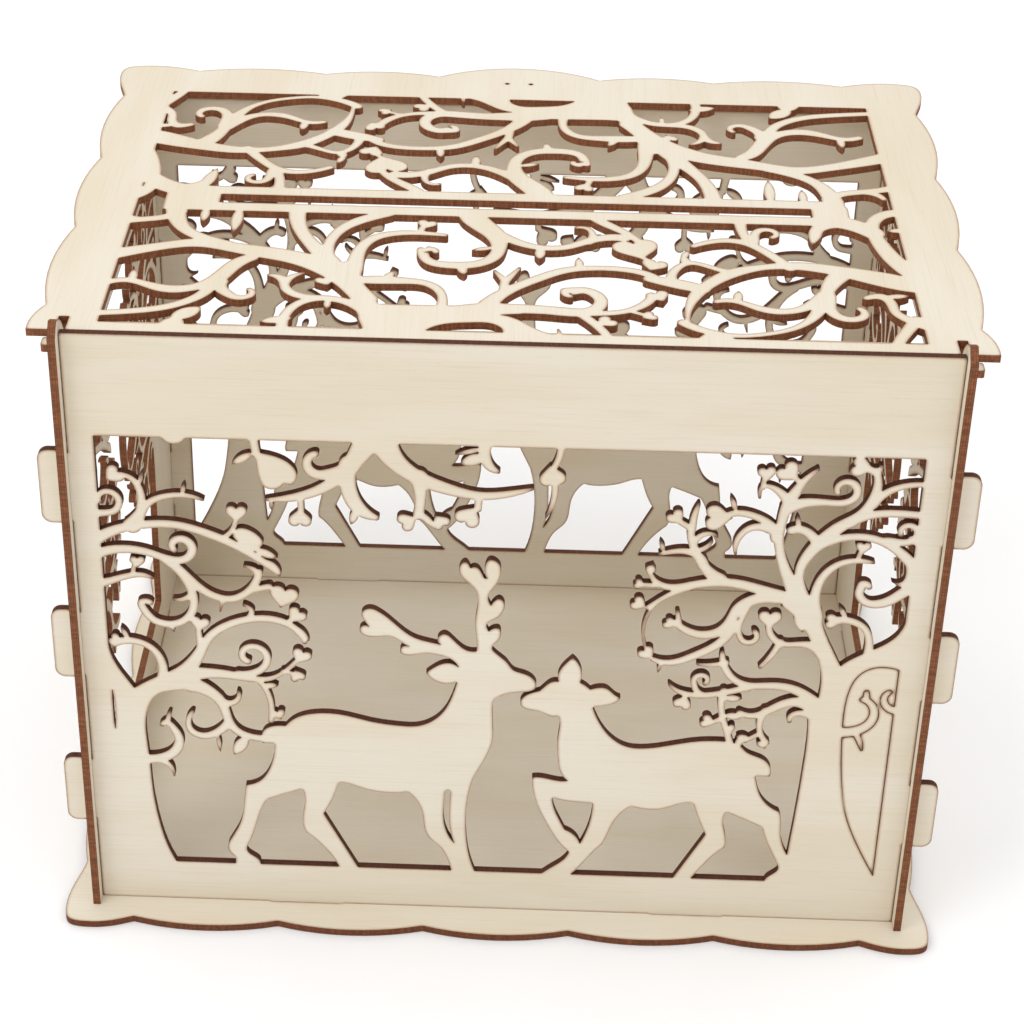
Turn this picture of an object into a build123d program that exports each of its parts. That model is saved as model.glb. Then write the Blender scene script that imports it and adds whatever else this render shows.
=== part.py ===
from build123d import *
from math import ceil, cos, hypot, radians, sin
import os

os.makedirs("parts", exist_ok=True)

# A flat-pack keepsake box for cards, laser cut from thin plywood.
# Origin: middle of the underside of the base board. +Z is up, +X to the right, and -Y is the
# side where the lid is hinged. All sizes are in millimetres.

# Sheet and fits
sheet = 2.5               # thickness of the plywood, every piece is cut from it
slot_gap = 0.08           # clearance all round a tab in its slot
butt_gap = 0.25           # gap where an edge stands against a face
kerf = 0.22               # width of one cut line

# The four walls
inner_width = 273.0       # between the two side panels
inner_depth = 191.5       # between the two picture panels
side_height = 217.5       # flat top edge that the lid lies on
hinge_panel_rise = 6.5    # hinge panel's top edge over the side panels'
hasp_panel_drop = 1.8     # hasp panel's top edge under the side panels'
side_lip = 4.5            # how far a side panel runs past a picture panel

# The picture window in both long panels
window_margin = 8.5       # wood left at each end
ground_height = 16.7      # wood left under the picture
window_headroom = 29.5    # from the window to the side panels' top edge

# Tabs and slots
side_tab_height = 25.0
side_tab_first = 35.0     # bottom of the lowest side tab, above the base board
side_tab_headroom = 36.3  # from the top of the highest side tab to the side panels' top edge
side_tab_reach = 7.1      # how far a tab stands out of the side panel
side_tab_barb = 1.0       # extra height of the tab's head at each end
side_tab_neck = 0.35      # how far the tab's head starts outside the side panel
side_tab_corner = 3.4     # rounding of the tab's outer corners
slot_spare = 2.2          # extra slot length that lets the barb in
foot_tab_width = 25.0
foot_tab_place = 65.5     # middle of a foot tab from the middle of a picture panel
side_foot_place = 58.0    # middle of a foot tab from the middle of a side panel

# Base board and lid
base_overhang_x = 5.8     # from a side panel's outer face to the scallops' inner points
base_overhang_y = 9.7     # from a picture panel's outer face to the scallops' inner points
lid_overhang = 5.8
lid_far_overhang = 13.0   # from the hasp panel's outer face to the far scallops' inner points
lid_edge_play = 0.3       # lid's straight edge behind the pegs
scallop_rise = 3.4
hasp_lobe_width = 60.0
hasp_lobe_rise = 9.5
hasp_screw_spacing = 8.8
hasp_screw_bore = 1.6
hasp_screw_inset = 5.0    # from the far scallops' inner points

# Card slot
card_slot_length = 199.0
card_slot_width = 6.2
card_bar_width = 18.6
card_bar_left = 9.0       # from the lid window's left side to the bar round the slot
card_bar_right = 15.0     # and from its right side
card_bar_round = 6.0

# Hinge
bar_depth = 16.0          # width of the strip glued under the lid
peg_depth = 5.0           # the part of it that goes through the side panels
peg_reach = 4.0           # how far a peg stands out of the side panel
peg_play = 0.08           # radial clearance of a peg's corners in its hole
peg_corner = 1.0          # rounding of a peg's corners in plan
peg_wall = 3.9            # from the hinge panel's inner face to the hinge axis
prong_rise = 10.8         # top of the corner prong over the side panel's top edge
prong_back = 3.8          # back of the prong behind the hinge axis
prong_waist = 7.1         # height of the prong's rounded back over the hinge axis
prong_flat = 4.1          # the prong's crest stops this far behind the side panel's near edge
prong_drop = 4.2          # and its nose slopes down by this much
prong_play = 0.35         # sideways clearance of a prong in the lid's slit
prong_end_play = 0.5      # what the slit is longer than the prong's swing

# Smaller sizes of the boards and windows
base_corner_x = 20.5      # a corner lobe of the base, along x and along y
base_corner_y = 26.7
lid_corner_x = 24.8       # a far corner lobe of the lid
lid_corner_y = 24.0
lid_far_cusps = (hasp_lobe_width / 2, hasp_lobe_width / 2 + 42.5)
lid_ear = 15.8            # short half lobe beside the lid's straight edge
lid_window_near = 5.8     # wood between the lid's straight edge and its window
lid_window_far = 19.5     # wood between the window and the far scallops' inner points
lid_window_side = 12.0    # from the side panels' outer faces to the lid's window
strip_play = 0.3          # end clearance of the hinge strip between the side panels
side_window_margin = 11.25  # from a picture panel's outer face to the window in a side panel
panel_screw_bore = 1.2
panel_screw_spacing = 14.6
panel_screw_drop = 17.7   # screws under the hasp panel's top edge

# The size that the pictures and the lid's fretwork are drawn at
drawn_width = 256.0
drawn_height = 171.3
drawn_ground = 16.7
drawn_side_width = 174.0
drawn_lid_width = 254.0
drawn_lid_depth = 175.0
drawn_lid_middle = 102.5  # middle of the card slot
side_tree_shift = 44.0    # the trees stand this much closer together in a side panel
lid_rim = 2.5             # the fretwork runs this far into the frame
lid_turned_shift = 5.6    # the turned half of the fretwork lies this much to the left
curl_step = 42.0          # degrees between two points of a curl

# Worked out
hinge_panel_height = side_height + hinge_panel_rise
hasp_panel_height = side_height - hasp_panel_drop
window_height = side_height - ground_height - window_headroom
window_width = inner_width - 2 * window_margin
outer_y = inner_depth / 2 + sheet            # outer face of a picture panel
outer_x = inner_width / 2 + sheet            # outer face of a side panel
floor_z = sheet                              # top of the base board
lid_z = floor_z + side_height                # underside of the closed lid
axis_inset = sheet + peg_wall                # hinge axis behind the hinge panel's outer face
axis_y = -outer_y + axis_inset
axis_z = lid_z - sheet / 2
peg_hole_radius = hypot(peg_depth / 2, sheet / 2) + peg_play
window_low = floor_z + ground_height
side_window_width = 2 * (outer_y - side_window_margin)
side_tab_spacing = (side_height - side_tab_first - side_tab_height - side_tab_headroom) / 2
side_tab_lows = [floor_z + side_tab_first + slot_gap + side_tab_spacing * i for i in range(3)]
slot_length = side_tab_height + slot_spare + slot_gap
scallop_x = outer_x + base_overhang_x        # inner points of the base's scallops
scallop_y = outer_y + base_overhang_y
lid_x = outer_x + lid_overhang               # inner points of the lid's scallops
lid_near = axis_y + peg_depth / 2 + lid_edge_play
lid_far = outer_y + lid_far_overhang
lid_window_low = lid_near + lid_window_near
lid_window_width = 2 * (outer_x - lid_window_side)
lid_window_depth = lid_far - lid_window_far - lid_window_low
slot_y = lid_window_low + lid_window_depth / 2


# ---------------------------------------------------------------- flat shapes

def unit(x, y):
    length = hypot(x, y)
    return x / length, y / length


def curl(cx, cy, r_start, r_end, a_start, a_end):
    """Points of a spiral about (cx, cy); its radius changes evenly with the angle in degrees."""
    steps = ceil(abs(a_end - a_start) / curl_step)
    points = []
    for i in range(steps + 1):
        share = i / steps
        angle = radians(a_start + (a_end - a_start) * share)
        radius = r_start + (r_end - r_start) * share
        points.append((cx + radius * cos(angle), cy + radius * sin(angle)))
    return points


def width_at(widths, share):
    """Width at a share of the way along, from a few widths spread evenly over it."""
    place = share * (len(widths) - 1)
    i = min(int(place), len(widths) - 2)
    return widths[i] + (widths[i + 1] - widths[i]) * (place - i)


def limb(widths, *points):
    """A branch: a smooth line through the points, with its width changing along it."""
    count = len(points)
    if count == 2:
        (ax, ay), (bx, by) = points
        points = (points[0], ((ax + bx) / 2, (ay + by) / 2), points[1])
        count = 3
    steps = [unit(points[i + 1][0] - points[i][0], points[i + 1][1] - points[i][1])
             for i in range(count - 1)]
    heads = [unit(steps[i][0] + steps[i + 1][0], steps[i][1] + steps[i + 1][1])
             for i in range(count - 2)]
    first = unit(2 * steps[0][0] - heads[0][0], 2 * steps[0][1] - heads[0][1])
    last = unit(2 * steps[-1][0] - heads[-1][0], 2 * steps[-1][1] - heads[-1][1])
    heads = [first] + heads + [last]
    left, right = [], []
    for i, (x, y) in enumerate(points):
        half = width_at(widths, i / (count - 1)) / 2
        dx, dy = heads[i]
        left.append((x - dy * half, y + dx * half))
        right.append((x + dy * half, y - dx * half))
    half = widths[-1] / 2
    tip = (points[-1][0] + last[0] * half, points[-1][1] + last[1] * half)
    half = widths[0] / 2
    root = (points[0][0] - first[0] * half, points[0][1] - first[1] * half)
    edges = [Spline(*left), ThreePointArc(left[-1], tip, right[-1]),
             Spline(*reversed(right)), ThreePointArc(right[0], root, left[0])]
    return make_face(edges)


def outline(*runs):
    """A closed shape. Each run is a smooth line that starts where the one before it ended."""
    edges = []
    here = runs[-1][-1]
    for run in runs:
        points = [here] + list(run)
        edges.append(Line(*points) if len(points) == 2 else Spline(*points))
        here = points[-1]
    return make_face(edges)


def heart(x, y, size, turn=0):
    """A heart with its point downwards, turned by an angle in degrees."""
    side = [(0, 0.2), (0.17, 0.36), (0.4, 0.31), (0.5, 0.08), (0.3, -0.24), (0, -0.52)]
    right = [(px * size, py * size) for px, py in side]
    left = [(-px, py) for px, py in reversed(right)]
    return Pos(x, y) * Rot(Z=turn) * make_face([Spline(*right), Spline(*left)])


def leaf(ax, ay, bx, by, width):
    """A pointed leaf between two points."""
    nx, ny = unit(ay - by, bx - ax)
    mx, my = (ax + bx) / 2, (ay + by) / 2
    half = width / 2
    return make_face([ThreePointArc((ax, ay), (mx + nx * half, my + ny * half), (bx, by)),
                      ThreePointArc((bx, by), (mx - nx * half, my - ny * half), (ax, ay))])


# ---------------------------------------------------------------- the picture
# Drawn over a window 256 wide, standing on ground 16.7 high.

def stag():
    body = outline(
        [(-89.5, 19.6)], [(-92, 24), (-90, 29), (-87, 36), (-86, 42), (-85, 51.3)],
        [(-79.5, 54), (-76.3, 60), (-75, 66), (-74.8, 69.5)], [(-79, 69.5)], [(-79, 73.2)],
        [(-77, 76), (-74, 77), (-71, 77)],
        [(-67, 80.8), (-60, 82.8), (-52, 82.4), (-42, 79.8), (-34, 78.7), (-27, 78.8), (-20.5, 82.8),
         (-16.5, 90), (-14.5, 97.3)],
        [(-20, 96.8), (-24.6, 100.7)], [(-22, 103), (-18.6, 104.8), (-14, 103.3)],
        [(-17, 106.8), (-20.5, 108), (-26, 108.4), (-31, 107.6), (-33, 108.6), (-32.8, 110.4), (-30, 111)],
        [(-32.5, 112.6), (-36, 114.8), (-41, 114.5), (-45, 115.3), (-46.2, 117.2), (-45.2, 118.8),
         (-43, 118.4)],
        [(-44.8, 121.2), (-45.5, 123.8), (-43.6, 125.6), (-39.5, 124.3), (-33, 118.2), (-29, 115),
         (-24, 113.2), (-19.8, 112.2)],
        [(-20.7, 115.2), (-19, 116.5), (-16.5, 115), (-13, 111.2), (-8.3, 110)],
        [(-8.4, 115), (-9, 121), (-8.4, 127), (-8.3, 131), (-9.2, 134.5), (-12.5, 138), (-14.4, 142),
         (-13, 144.8), (-10.8, 142.5)],
        [(-9, 143), (-7.4, 141.2), (-6.4, 138.8)], [(-5.2, 138.8)],
        [(-6.2, 143), (-4.6, 146), (-2.2, 145), (-1.1, 141.5), (-2.4, 136.6), (-4.4, 133.4), (-4, 128.2)],
        [(-3, 130), (-1.4, 131), (0.1, 129.6), (-0.2, 126), (-2, 123.4), (-4.6, 121.8), (-4.5, 118)],
        [(-3.2, 119.2), (-1.4, 119.4), (-0.6, 117.2), (-1.6, 114.4), (-3.2, 112.4), (-3.2, 110.6)],
        [(-1, 108.4), (1.5, 106), (3.8, 102.8), (7, 101.6), (10, 99.8), (11.3, 97.4), (10.6, 95.2)],
        [(8, 94.2), (3.5, 93.6), (0, 92.2)],
        [(-2.2, 90.6), (-2.7, 86), (-2.5, 80), (-2.4, 74), (-3.6, 69), (-5.4, 64.5), (-8.6, 57.5)],
        [(-10, 51), (-10.8, 43), (-10.8, 35), (-9.8, 25), (-7.5, 16.5)], [(-7.5, 14)], [(-15.5, 14)],
        [(-15.5, 16.7)], [(-17, 22), (-19.8, 27.3), (-23.3, 31), (-24.9, 35.5), (-25.6, 42), (-27.5, 47),
                          (-30.5, 50.7)],
        [(-34, 50), (-39, 50.1), (-45, 51.3), (-50.5, 53.4), (-53.6, 53.7)],
        [(-54.6, 50.3), (-56.2, 45.6), (-59, 40)], [(-47.5, 16.7)], [(-47.5, 14)], [(-54, 14)], [(-54, 17)],
        [(-60, 26.5), (-64.8, 31.4)], [(-66, 34.5), (-65.6, 42), (-66, 50.4)],
        [(-72, 48), (-78, 45.3)], [(-80.2, 40.5), (-82.3, 33), (-85.4, 24.4)],
        [(-84, 20.7), (-81.8, 19), (-81, 16.7)], [(-81, 14)], [(-89.5, 14)])
    leg_gap = outline([(-17, 33), (-18.4, 40), (-17.9, 51.8)], [(-16.2, 51.8)],
                      [(-16.5, 42), (-16, 34), (-14.6, 28.8)])
    return body - leg_gap


def doe():
    body = outline(
        [(25.3, 14)], [(25.3, 16.7)], [(30, 23), (33, 27.5), (35.6, 30.6)],
        [(37, 34.5), (38.2, 38.5), (41, 44), (44.5, 47.5)],
        [(49, 46.5), (54, 46.6), (58, 48), (61.5, 49.5), (65.2, 49.7)],
        [(67, 44), (70.2, 36.3)], [(60.3, 16.7)], [(60.3, 14)], [(66.3, 14)], [(66.3, 16.7)],
        [(70, 22.5), (74, 28), (77, 31)], [(77.2, 33), (76.4, 38), (76.5, 46.4)],
        [(82, 43.8), (88.9, 40.3)], [(90.3, 35.5), (92.6, 30), (95.2, 24.4)],
        [(95.2, 21), (93, 19), (91.5, 16.7)], [(91.5, 14)], [(101, 14)], [(101, 26)], [(98.2, 28.5)],
        [(96.3, 33), (95.2, 39), (94.8, 45), (94, 47.3)],
        [(90, 50), (87.2, 54), (85.7, 59), (85, 62.2)], [(89.8, 62.2)],
        [(89.9, 65.5), (87.2, 69.3), (83, 71.2), (80, 73.8)],
        [(76.5, 76), (72, 76.5), (66, 76.2), (56, 74), (48, 72.4), (41.5, 73), (37, 76), (33.2, 81),
         (30, 88.7)],
        [(33, 89.4), (36.5, 90.4), (38.9, 93)],
        [(36.6, 94.4), (34, 96.7), (31, 96.7), (29, 95.9)], [(27.6, 97.3), (25.4, 98.7)],
        [(26, 102), (25.2, 105.3), (22.8, 108.6)], [(19.9, 105.2), (18.4, 102), (18.6, 98.8)],
        [(16, 98.4), (14, 96.5), (12.6, 94.8)], [(10.3, 94), (7.6, 92.4), (6.3, 90)],
        [(6.8, 88.2), (9.4, 86.9), (13, 86.2), (15.4, 84.9), (19, 84.8)],
        [(19.5, 81.5), (19, 75), (19.3, 67), (20.3, 61.4), (23, 57.6)],
        [(18, 57.8), (14, 58.7), (11, 58.5)], [(11.3, 54), (12.6, 48), (15, 41.8), (18, 35.5), (21, 30.4),
                                               (24.5, 26.6)],
        [(21.8, 22.2), (18.4, 19.3), (15.5, 16.7)], [(15.5, 14)])
    leg_gap = outline([(23, 48.9), (27.5, 48.5), (31.6, 48.3)],
                      [(31.4, 43), (30.4, 37.5), (28, 30.4)], [(26.6, 33.4), (22.6, 36.4)],
                      [(20.6, 40.8), (18.9, 45), (18, 50.2)])
    return body - leg_gap


def left_tree():
    trunk = outline([(-131, 14)], [(-110, 14)], [(-110, 16.7)],
                    [(-113, 25), (-115.2, 36), (-116.5, 48), (-117, 62), (-117.6, 73), (-116.6, 82),
                     (-112.6, 88.6), (-104, 90.6), (-98.6, 93.9)], [(-104, 101)], [(-110, 97.2)],
                    [(-116, 93.9), (-120.5, 90.8)],
                    [(-124, 96.6), (-127, 103), (-128, 108)], [(-131, 108)])
    slit = leaf(-127.7, 73.5, -127.8, 90, 0.9)
    return [
        trunk - slit,
        # stub on the trunk
        limb([3.8, 3.6, 2.6, 1.8], (-119, 61.5), (-112, 62.2), (-107.6, 65.8), (-106.7, 70.6),
             (-108.4, 74.6), (-110.6, 77), (-112, 76)),
        limb([2, 1.2], (-110.3, 76.5), (-109.8, 79), (-109.2, 81)),
        limb([2.6, 2, 0.6], (-114, 61), (-110.6, 59), (-109, 54.3)),
        # arch beside the fork
        limb([3.4, 2.4, 3], (-111, 96), (-111.2, 102.5), (-114.3, 107.6), (-120, 110), (-126, 108.8)),
        heart(-125.8, 110.4, 4.6, 60), leaf(-121, 110, -123.6, 115.4, 1.8),
        # limb that climbs to the right and its leaves
        limb([7, 4.6, 3.2, 3, 2.8, 2.8, 1.6], (-107, 95), (-101.6, 100.4), (-98.3, 106), (-95.2, 112),
             (-89.5, 117), (-82, 119.9), (-73, 120), (-67, 116.8), (-64, 111.5)),
        limb([2.6, 2], (-98, 108), (-98.4, 115)), heart(-97.8, 117.8, 6.4, -12),
        limb([2.2, 1.8, 1.2], (-82.4, 120), (-81, 123.6), (-83.2, 125.4)),
        heart(-66.4, 122.2, 6.6, -40), limb([2, 1.8], (-69.6, 118.6), (-67.6, 121)),
        leaf(-68.5, 118.5, -62.5, 112, 3), heart(-65.2, 106, 6.6, -25), heart(-66.6, 97.6, 5.2, -160),
        limb([1.8, 1.6], (-71.2, 99.4), (-67.4, 98.4)),
        # lower limb with its curl
        limb([7, 4.4, 3.4, 2.6, 1.8, 1.6, 1.6], (-104, 96.4), (-96, 97.8), (-88, 97.2), (-81, 96),
             (-75, 96.6), (-71, 99.2), (-67, 103.6)),
        limb([3, 2.6, 2.4, 2.4], (-86, 97.8), (-80.6, 98.6), *curl(-81.6, 105, 5.6, 2.2, -32, 240)),
        limb([2, 2, 2], (-80, 96), (-77, 91.5), (-75.6, 86), (-75.8, 79)),
        leaf(-78.6, 93.4, -73, 93.6, 2.4), heart(-73.2, 81.8, 4.6, 20),
        # leaf that hooks down from the fork to the stag's tail
        limb([6.4, 4.2, 3.4, 3, 2.8, 2.8], (-101.5, 93), (-96, 90.4), (-91.8, 85.6), (-90.2, 79.6),
             (-87.4, 74.4), (-82.8, 72), (-77, 71.6)),
        limb([3, 2.2, 1.2], (-92.6, 88), (-88.4, 85.8), (-86.4, 87.6), (-86.2, 90.4)),
        limb([3.2, 3, 2.6, 2, 1.4], (-90.4, 77), (-94.4, 73), (-99, 71.8), (-102.6, 74), (-103.2, 78.2),
             (-101.6, 81.6)),
        leaf(-93.8, 73, -93, 65, 1.6), leaf(-83.6, 72.4, -88.6, 64.2, 4.4),
        # long top branch out of the frame
        limb([4.4, 3.4, 3, 3, 3.2, 3, 2.6, 1], (-130, 149), (-122, 153.6), (-112.5, 155.7), (-103, 155.6),
             (-95, 153.2), (-87, 149.6), (-80, 145.2), (-75, 141.2), (-71.6, 137.6)),
        limb([1.8, 1.6], (-89, 151.4), (-86.3, 154), (-85, 158)), heart(-84.6, 161, 6.8),
        outline([(-86, 152)], [(-84, 155.2), (-79.6, 154), (-76.4, 149.8)], [(-79.6, 146.6), (-83, 148)]),
        leaf(-79.8, 147.6, -72, 144.2, 3), leaf(-76.4, 143.6, -71, 138, 3),
        # twig above it that forks to a heart and a leaf
        limb([6, 3.6, 2.6, 2.2, 2, 0.8], (-117.6, 155.2), (-114.7, 160), (-112.2, 163.6), (-108, 166),
             (-102, 167), (-94.9, 165.4)),
        leaf(-101.4, 167, -100.6, 171.2, 1.6),
        limb([3, 2.6, 2.2, 1.6], (-114.8, 160.5), (-114.3, 166.4), (-115.6, 171), (-119.6, 174)),
        heart(-122.3, 174, 6.8, -50), leaf(-115, 169.6, -113.4, 175.2, 1.4),
        limb([2.6, 2.2, 1.8], (-130, 158.6), (-125.6, 159.6), *curl(-125.4, 164.3, 4.6, 2.4, -62, 190)),
        # curl branch under it
        limb([3.6, 2.8, 3, 3, 2.6, 2.2], (-130, 143.4), (-121, 146), (-113, 144.9), (-105.8, 142.4),
             *curl(-103.2, 147.2, 4.8, 2, -68, 210)),
        # heart on a low branch
        limb([3.6, 2.4, 2, 1], (-130, 132.4), (-122, 135), (-116, 136.2), (-112.3, 135)),
        limb([1.6, 1.4], (-118.6, 135.8), (-118, 139.6)), heart(-116.8, 141.4, 5),
        # long wave with the big curl
        limb([3, 3.4, 3, 2.8, 2.8, 2.8, 2.4], (-108, 142.4), (-103.6, 138.6), (-98.6, 133), (-93, 128.8),
             (-87, 127.8), (-82, 130.6), (-79.2, 134.6), (-78, 138.6)),
        limb([2.4, 2, 1], (-79, 135), (-79.2, 139), (-82.6, 140.6)),
        limb([2.4, 2.4], (-81, 131.4), (-75, 133)), heart(-70.4, 129.6, 9.4, -14),
        limb([1.8, 0.6], (-90, 127.4), (-91, 122.8)),
        limb([3, 3, 2.8, 2.8, 2.6, 2], (-106.6, 141.6), (-102.4, 136.4), (-99.8, 130),
             *curl(-108.4, 125.2, 9, 7.6, 0, -150), *curl(-114.4, 123.6, 2.6, 2, 130, 60)),
        limb([2.4, 1.8, 1], (-99.6, 129.6), (-102.4, 127.2), (-105.8, 126.8)),
        leaf(-107.4, 117.4, -106.2, 113.8, 1.4)]


def hanging_twigs():
    return [
        Pos(-103.2, 188.2) * Ellipse(3.6, 2.4),
        # heart leaf beside the left tree
        limb([3, 2.6], (-78.8, 190), (-77.6, 182.6)), leaf(-78.6, 183.4, -85.4, 179, 2.8),
        outline([(-76.4, 183.4)],
                [(-71.5, 182.2), (-67.4, 179.8), (-65.2, 175.4), (-66.4, 172.4), (-69.4, 172.6)],
                [(-71.6, 170.4), (-75, 170.6), (-77, 174), (-78.4, 183.4)]),
        # big twig: a curl, two leaves and a long limb
        limb([9, 5, 3.8, 3.4, 2.8, 2.2], (-42, 190), (-46.6, 182.8), (-51.6, 177.4),
             *curl(-58.2, 180.6, 5, 3.2, -62, -250)),
        limb([7, 4, 3.2, 1], (-48.6, 180), (-55.6, 172.2), (-64, 168), (-75, 166.2)),
        limb([2, 2], (-64.3, 168), (-64.2, 161)), heart(-64.6, 159.3, 7.4, 180),
        leaf(-73.6, 166.4, -73.4, 162.4, 1.4),
        limb([6, 5.2, 4.8, 2], (-49.2, 180), (-49.2, 171), (-46.4, 164.4), (-40.6, 160.6)),
        leaf(-46.6, 164, -48.6, 157.8, 2.8),
        limb([10, 6.4, 5.2, 4.2, 3.2, 2.6, 1], (-38.6, 190), (-34, 181), (-27, 175.6), (-18, 172),
             (-9, 170), (0, 170.8), (8, 173)),
        limb([6, 3.6, 3.4], (-27.4, 176), (-26.8, 168), (-27.4, 162)),
        heart(-31, 159.4, 6.8, 120), leaf(-27.4, 163.6, -22, 157.4, 2.6), heart(-20.4, 159.6, 6, 215),
        limb([2.6, 2.4], (-8.6, 170), (-8.8, 165)), heart(-11.8, 161.8, 8.4, 150),
        # small leaves right of it
        limb([4.4, 3.6, 3, 1.4], (-6.3, 190), (-6.9, 184), (-5.4, 180.8), (-2.8, 179)),
        leaf(-6.6, 184.6, -14.4, 181.6, 4.2), leaf(-6.6, 187.6, -16.2, 184.8, 1.8),
        # last heart leaf
        limb([2.4, 2.2, 2], (16.4, 190), (15.9, 184.6), (13.8, 180)), heart(14, 177.6, 8.4, 190),
        limb([2.4, 1.8, 0.6], (14.8, 176), (14.6, 168.6), (12.5, 162.6))]


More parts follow.
